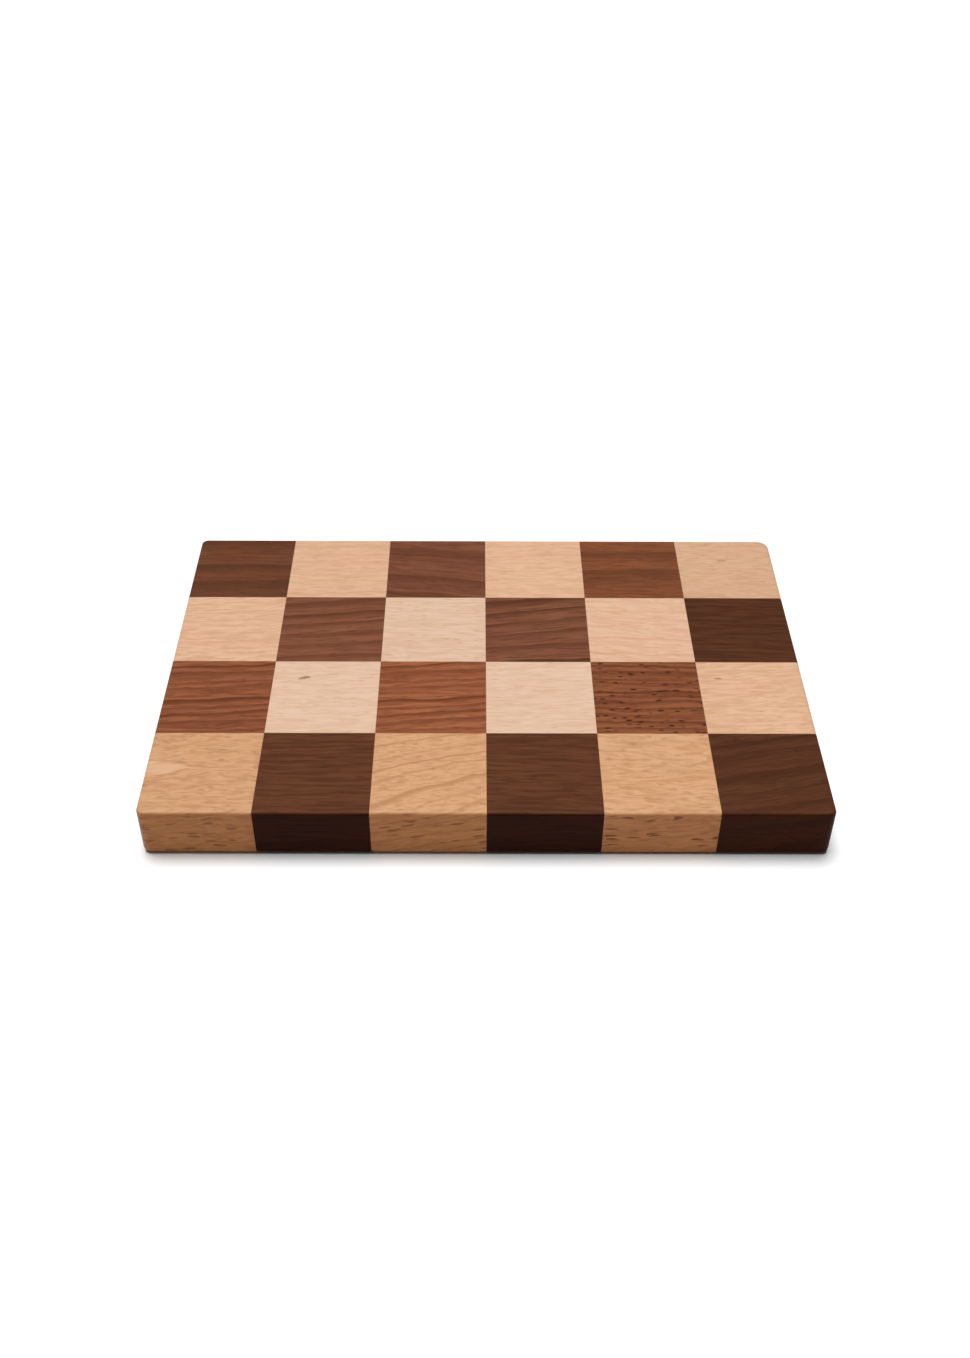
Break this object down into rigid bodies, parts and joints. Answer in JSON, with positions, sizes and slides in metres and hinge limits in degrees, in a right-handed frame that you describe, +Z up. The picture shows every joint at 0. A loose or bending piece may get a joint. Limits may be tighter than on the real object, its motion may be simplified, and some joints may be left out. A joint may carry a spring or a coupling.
{
  "type": "cutting board",
  "caption": "Small rectangular cutting board glued up in a chequer of light and dark solid wood blocks, with eased edges, sanded corners and a plain flat face on each side.",
  "frame": {"origin": "centre of the underside, on the surface that the board lies on", "axes": "+X along the long side to the right, +Y to the back edge, +Z up out of the working face"},
  "size_m": [0.2988, 0.2, 0.0254],
  "materials": {
    "beech_tan": "satin, oiled",
    "beech_pale": "satin, oiled",
    "walnut_dark": "satin, oiled",
    "walnut_brown": "satin, oiled",
    "walnut_red": "satin, oiled",
    "wood_glue": "hardened wood glue, seen only as a hairline"
  },
  "bodies": {
    "root": {"beech_block_row1_col1": "beech_tan", "walnut_block_row2_col1": "walnut_red", "beech_block_row3_col1": "beech_pale", "walnut_block_row4_col1": "walnut_brown", "walnut_block_row1_col2": "walnut_dark", "beech_block_row2_col2": "beech_pale", "walnut_block_row3_col2": "walnut_brown", "beech_block_row4_col2": "beech_tan", "beech_block_row1_col3": "beech_tan", "walnut_block_row2_col3": "walnut_red", "beech_block_row3_col3": "beech_pale", "walnut_block_row4_col3": "walnut_brown", "walnut_block_row1_col4": "walnut_dark", "beech_block_row2_col4": "beech_pale", "walnut_block_row3_col4": "walnut_brown", "beech_block_row4_col4": "beech_tan", "beech_block_row1_col5": "beech_tan", "walnut_block_row2_col5": "walnut_red", "beech_block_row3_col5": "beech_pale", "walnut_block_row4_col5": "walnut_brown", "walnut_block_row1_col6": "walnut_dark", "beech_block_row2_col6": "beech_pale", "walnut_block_row3_col6": "walnut_dark", "beech_block_row4_col6": "beech_tan", "glue_film_col1_row1_to_row2": "wood_glue", "glue_film_col1_row2_to_row3": "wood_glue", "glue_film_col1_row3_to_row4": "wood_glue", "glue_film_col2_row1_to_row2": "wood_glue", "glue_film_col2_row2_to_row3": "wood_glue", "glue_film_col2_row3_to_row4": "wood_glue", "glue_film_col3_row1_to_row2": "wood_glue", "glue_film_col3_row2_to_row3": "wood_glue", "glue_film_col3_row3_to_row4": "wood_glue", "glue_film_col4_row1_to_row2": "wood_glue", "glue_film_col4_row2_to_row3": "wood_glue", "glue_film_col4_row3_to_row4": "wood_glue", "glue_film_col5_row1_to_row2": "wood_glue", "glue_film_col5_row2_to_row3": "wood_glue", "glue_film_col5_row3_to_row4": "wood_glue", "glue_film_col6_row1_to_row2": "wood_glue", "glue_film_col6_row2_to_row3": "wood_glue", "glue_film_col6_row3_to_row4": "wood_glue", "glue_film_col1_to_col2": "wood_glue", "glue_film_col2_to_col3": "wood_glue", "glue_film_col3_to_col4": "wood_glue", "glue_film_col4_to_col5": "wood_glue", "glue_film_col5_to_col6": "wood_glue"}
  },
  "joints": []
}
